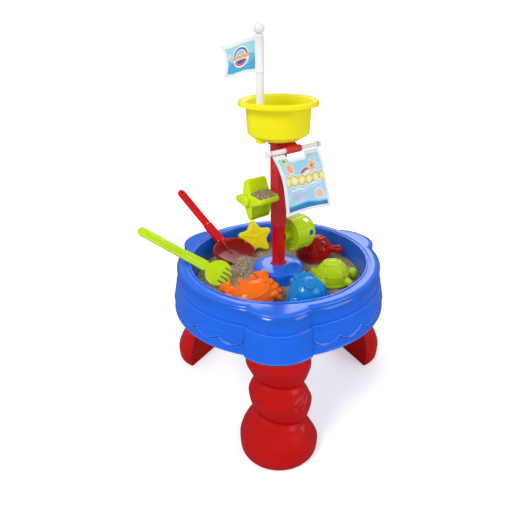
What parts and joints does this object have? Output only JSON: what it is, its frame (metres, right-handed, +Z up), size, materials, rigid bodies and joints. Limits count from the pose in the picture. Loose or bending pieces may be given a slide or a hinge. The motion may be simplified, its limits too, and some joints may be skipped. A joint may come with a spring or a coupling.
{
  "type": "sand and water table",
  "caption": "Round play basin on bulging legs, with a post that holds a sand bowl, spinning wheels, a flag and a sail, and with loose sand toys.",
  "frame": {"origin": "on the floor, under the middle of the whole assembly's bounding box; the basin's axis stands at x = +0.01848, y = +0.02533", "axes": "+Z up, -Y towards the front leg, +X to the right seen from the front"},
  "size_m": [0.4814, 0.4406, 0.6792],
  "materials": {
    "basin_blue": "glossy moulded",
    "leg_red": "glossy moulded",
    "post_red": "glossy moulded",
    "pin_red": "glossy moulded",
    "bowl_yellow": "glossy moulded",
    "white_plastic": "glossy moulded",
    "flag_print": "printed sheet",
    "sail_print": "printed sheet",
    "wheel_lime": "glossy moulded",
    "drum_lime": "glossy moulded",
    "sand": "loose dry sand",
    "crab_orange": "glossy moulded",
    "fish_blue": "glossy moulded",
    "turtle_lime": "glossy moulded",
    "star_yellow": "glossy moulded",
    "seal_red": "glossy moulded",
    "shovel_red": "glossy moulded",
    "rake_lime": "glossy moulded"
  },
  "bodies": {
    "table": {"basin": "basin_blue", "leg_front": "leg_red", "leg_rear_right": "leg_red", "leg_rear_left": "leg_red", "lower_post": "post_red", "upper_post": "post_red", "post_head": "post_red", "bowl": "bowl_yellow", "bucket_axle_pin": "pin_red", "drum_axle_pin": "pin_red", "sand_fill": "sand"},
    "scoop_wheel": {"bucket_wheel": "wheel_lime"},
    "drum": {"drum_wheel": "drum_lime"},
    "pole": {"flag_pole": "white_plastic"},
    "banner": {"flag": "flag_print"},
    "sail_set": {"sail_rod": "white_plastic", "sail": "sail_print"},
    "crab": {"crab_mould": "crab_orange"},
    "fish": {"fish_mould": "fish_blue"},
    "turtle": {"turtle_mould": "turtle_lime"},
    "star": {"star_mould": "star_yellow"},
    "seal": {"seal_mould": "seal_red"},
    "shovel_tool": {"shovel": "shovel_red"},
    "rake_tool": {"rake": "rake_lime"}
  },
  "joints": [
    {"name": "scoop_wheel_spin", "type": "hinge", "parent": "table", "child": "scoop_wheel", "pos_m": [0.01848, 0.02533, 0.4055], "axis": [0.7547, 0.6561, 0], "continuous": true},
    {"name": "drum_spin", "type": "hinge", "parent": "table", "child": "drum", "pos_m": [0.01848, 0.02533, 0.317], "axis": [0.7547, 0.6561, 0], "continuous": true},
    {"name": "pole_pull_out", "type": "slide", "parent": "table", "child": "pole", "axis": [0, 0, 1], "range_m": [0, 0.03]},
    {"name": "flag_turn", "type": "hinge", "parent": "pole", "child": "banner", "pos_m": [-0.01058, 0.00007, 0.63], "axis": [0, 0, 1], "continuous": true},
    {"name": "sail_swing", "type": "hinge", "parent": "table", "child": "sail_set", "pos_m": [0.04144, -0.00109, 0.488], "axis": [0.7547, 0.6561, 0], "range_deg": [-35, 12]},
    {"name": "crab_lift", "type": "slide", "parent": "table", "child": "crab", "axis": [0, 0, 1], "range_m": [0, 0.08]},
    {"name": "fish_lift", "type": "slide", "parent": "table", "child": "fish", "axis": [0, -0.2, 0.9798], "range_m": [0, 0.1]},
    {"name": "turtle_lift", "type": "slide", "parent": "table", "child": "turtle", "axis": [0.1997, -0.0499, 0.9786], "range_m": [0, 0.1]},
    {"name": "star_lift", "type": "slide", "parent": "table", "child": "star", "axis": [0, 0.1005, 0.9949], "range_m": [0, 0.1]},
    {"name": "seal_lift", "type": "slide", "parent": "table", "child": "seal", "axis": [0.3, 0.4, 0.866], "range_m": [0, 0.12]},
    {"name": "shovel_lift", "type": "slide", "parent": "table", "child": "shovel_tool", "axis": [-0.3008, 0.2005, 0.9324], "range_m": [0, 0.1]},
    {"name": "rake_lift", "type": "slide", "parent": "table", "child": "rake_tool", "axis": [-0.3011, 0, 0.9536], "range_m": [0, 0.1]}
  ]
}
